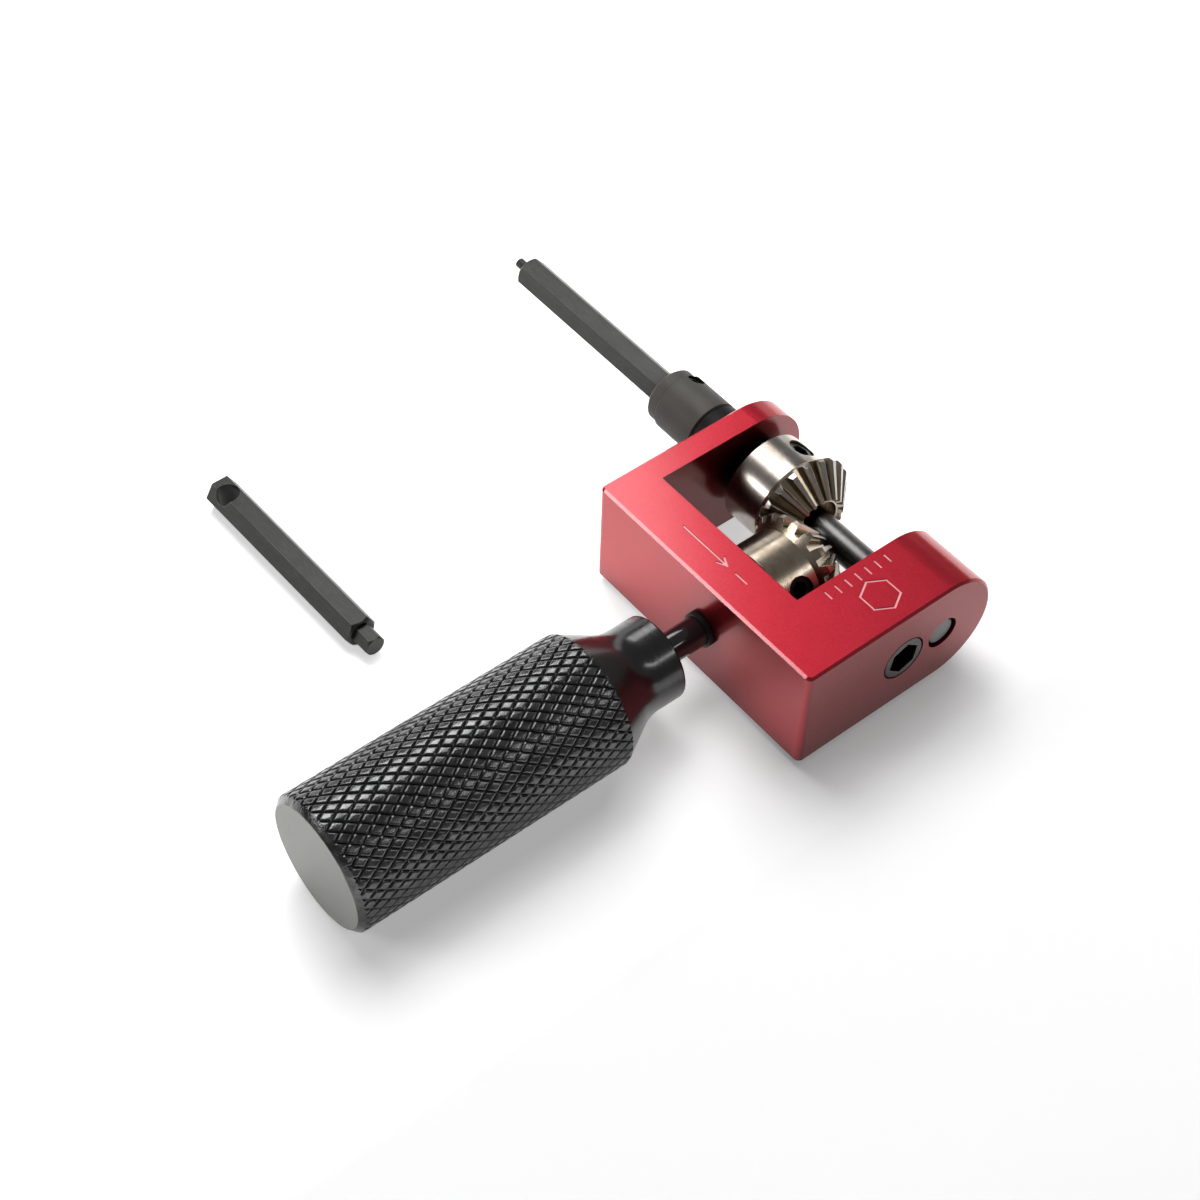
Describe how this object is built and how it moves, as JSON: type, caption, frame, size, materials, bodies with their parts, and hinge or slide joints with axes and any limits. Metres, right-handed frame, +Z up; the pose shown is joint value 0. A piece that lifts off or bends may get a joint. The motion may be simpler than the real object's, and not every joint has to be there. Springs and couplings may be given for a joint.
{
  "type": "right-angle chain tool driver",
  "caption": "Hand-turned right-angle driver: a knurled handle and mitre gears in a C-shaped block turn a hexagonal bit with a small pin tip; a spare bit lies beside it.",
  "frame": {"origin": "middle of the footprint, on the surface that the handle and the spare bit lie on", "axes": "+X along the output shaft, away from the bit; -Y along the handle towards its free end; +Z up, square to the block's broad faces"},
  "size_m": [0.105, 0.1084, 0.0222],
  "materials": {
    "red_anodised": "red anodised aluminium, fine bead-blasted satin",
    "bushing_bronze": "sintered bronze, matt",
    "socket_steel": "dark steel, turned",
    "black_grip": "black anodised, diamond knurl with smooth neck",
    "polished_black": "black oxide over a polished shaft",
    "washer_steel": "plain steel, ground",
    "gear_steel": "bright machined steel",
    "screw_black": "black oxide",
    "shaft_steel": "dark grey ground steel",
    "spacer_black": "black oxide, satin",
    "black_oxide": "black oxide, matt",
    "bit_steel": "hardened tool steel, matt black oxide"
  },
  "bodies": {
    "housing": {"housing_block": "red_anodised", "input_bushing": "bushing_bronze", "far_arm_bushing": "bushing_bronze", "near_arm_bushing": "bushing_bronze", "storage_socket": "socket_steel"},
    "handle": {"grip": "black_grip", "input_shaft": "polished_black", "input_retaining_ring": "polished_black", "input_thrust_washer": "washer_steel", "input_gear": "gear_steel", "input_gear_screw": "screw_black"},
    "output": {"output_shaft": "shaft_steel", "output_thrust_washer": "washer_steel", "output_gear": "gear_steel", "output_gear_screw": "screw_black", "collar_spacer": "spacer_black", "bit_collar": "black_oxide", "collar_bit_screw": "screw_black", "collar_shaft_screw": "screw_black", "driver_bit": "bit_steel"},
    "spare": {"spare_bit": "bit_steel"}
  },
  "joints": [
    {"name": "handle_spin", "type": "hinge", "parent": "housing", "child": "handle", "pos_m": [0.02945, 0.04425, 0.0111], "axis": [0, 1, 0], "continuous": true},
    {"name": "output_spin", "type": "hinge", "parent": "housing", "child": "output", "pos_m": [0.02945, 0.04425, 0.0111], "axis": [1, 0, 0], "continuous": true},
    {"name": "spare_lift", "type": "slide", "parent": "housing", "child": "spare", "axis": [0, 0, 1], "range_m": [0, 0.05]}
  ],
  "couplings": [
    {"joint": "output_spin", "follows": "handle_spin", "ratio": -1}
  ]
}
